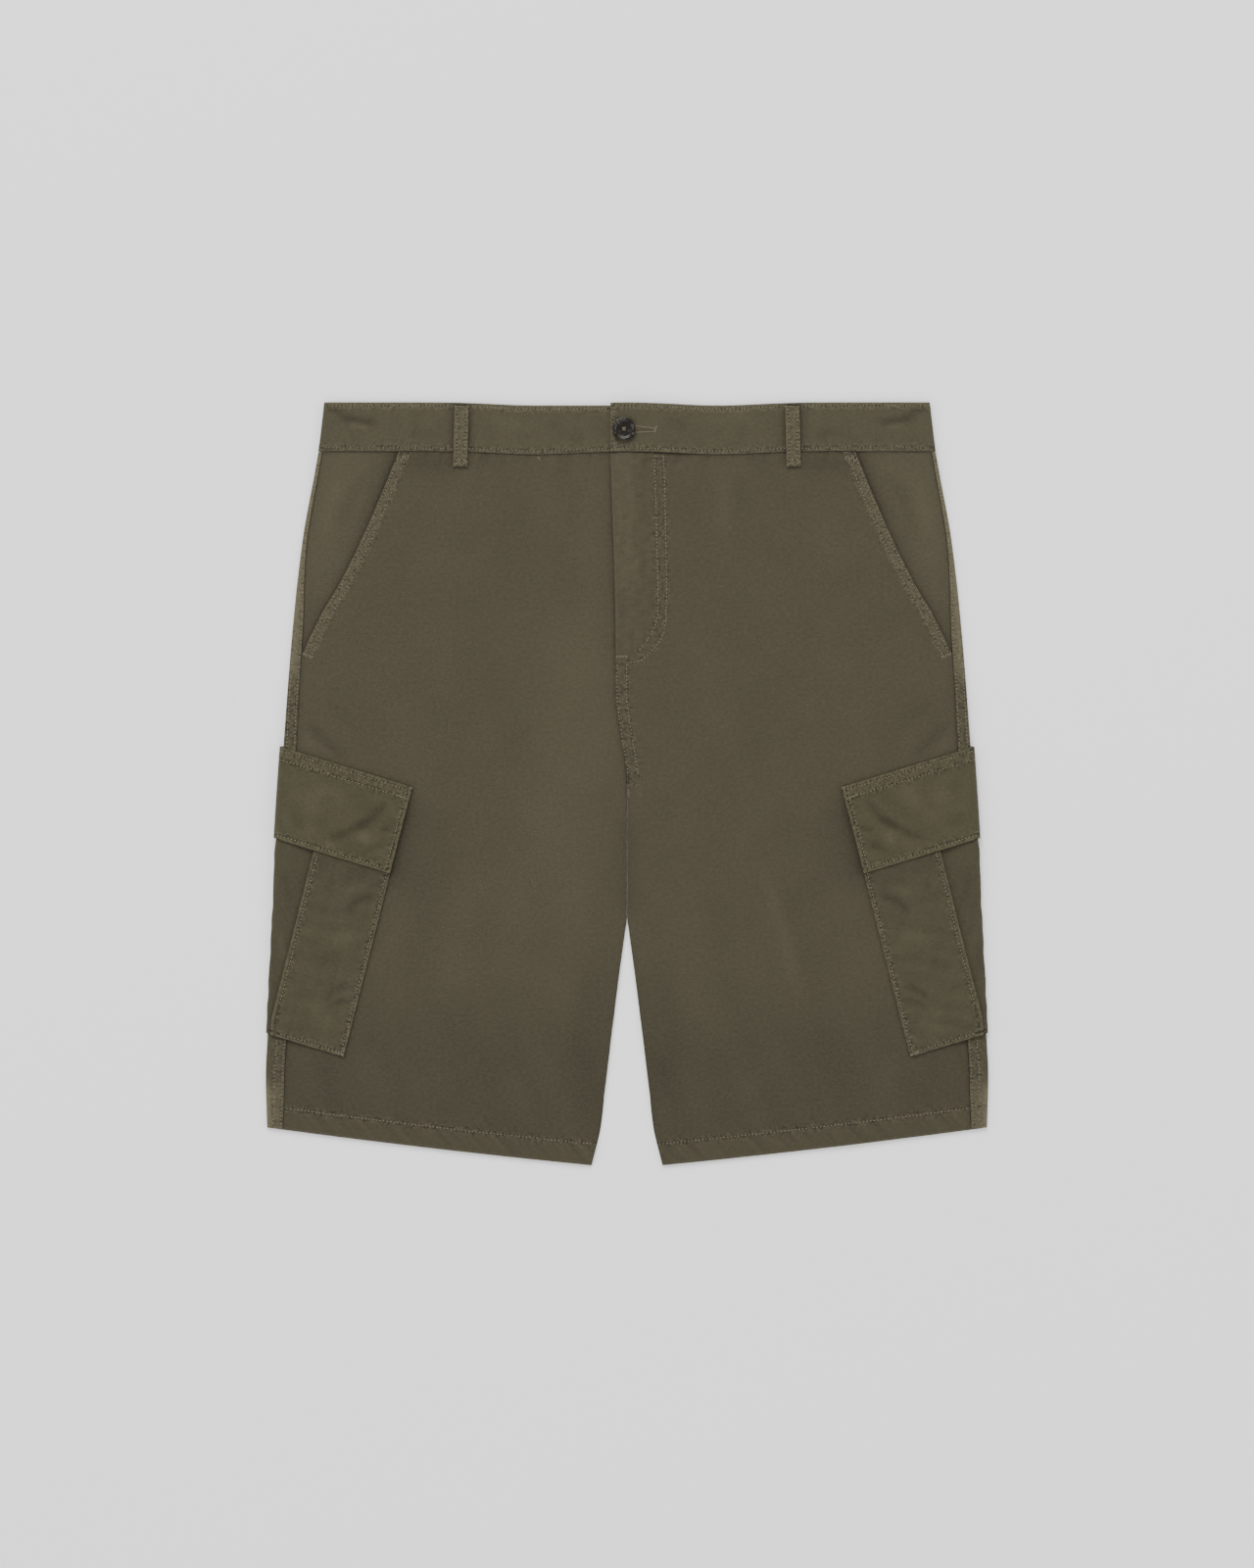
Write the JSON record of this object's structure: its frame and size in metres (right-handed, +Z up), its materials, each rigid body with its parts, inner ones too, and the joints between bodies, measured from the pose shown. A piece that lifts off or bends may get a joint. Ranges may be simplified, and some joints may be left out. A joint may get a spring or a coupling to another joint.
{
  "type": "cargo shorts",
  "caption": "Knee-length cotton cargo shorts laid flat, front side up, with slanted hip pockets and flapped pleated cargo pockets on the thighs.",
  "frame": {"origin": "on the surface the shorts lie on, under the middle of their outline", "axes": "+Y from the hem to the waist, +X to the wearer's left, +Z up out of the front side"},
  "size_m": [0.5534, 0.5841, 0.0117],
  "materials": {
    "twill": "matte olive cotton twill",
    "waistband": "matte olive cotton twill, doubled",
    "pocket": "matte olive cotton twill",
    "thread": "matte cotton sewing thread",
    "button": "dark brown marbled, polished"
  },
  "bodies": {
    "root": {"waistband": "waistband", "front_right": "twill", "front_left": "twill", "back_right": "twill", "back_left": "twill", "hip_facing_right": "twill", "hip_facing_left": "twill", "pocket_pleat_right": "pocket", "pocket_pleat_left": "pocket", "pocket_panel_right": "pocket", "pocket_panel_left": "pocket", "pocket_flap_right": "pocket", "pocket_flap_left": "pocket", "belt_loop_front_right": "waistband", "belt_loop_front_left": "waistband", "belt_loop_back_right": "waistband", "belt_loop_back_centre": "waistband", "belt_loop_back_left": "waistband", "button": "button"}
  },
  "joints": []
}
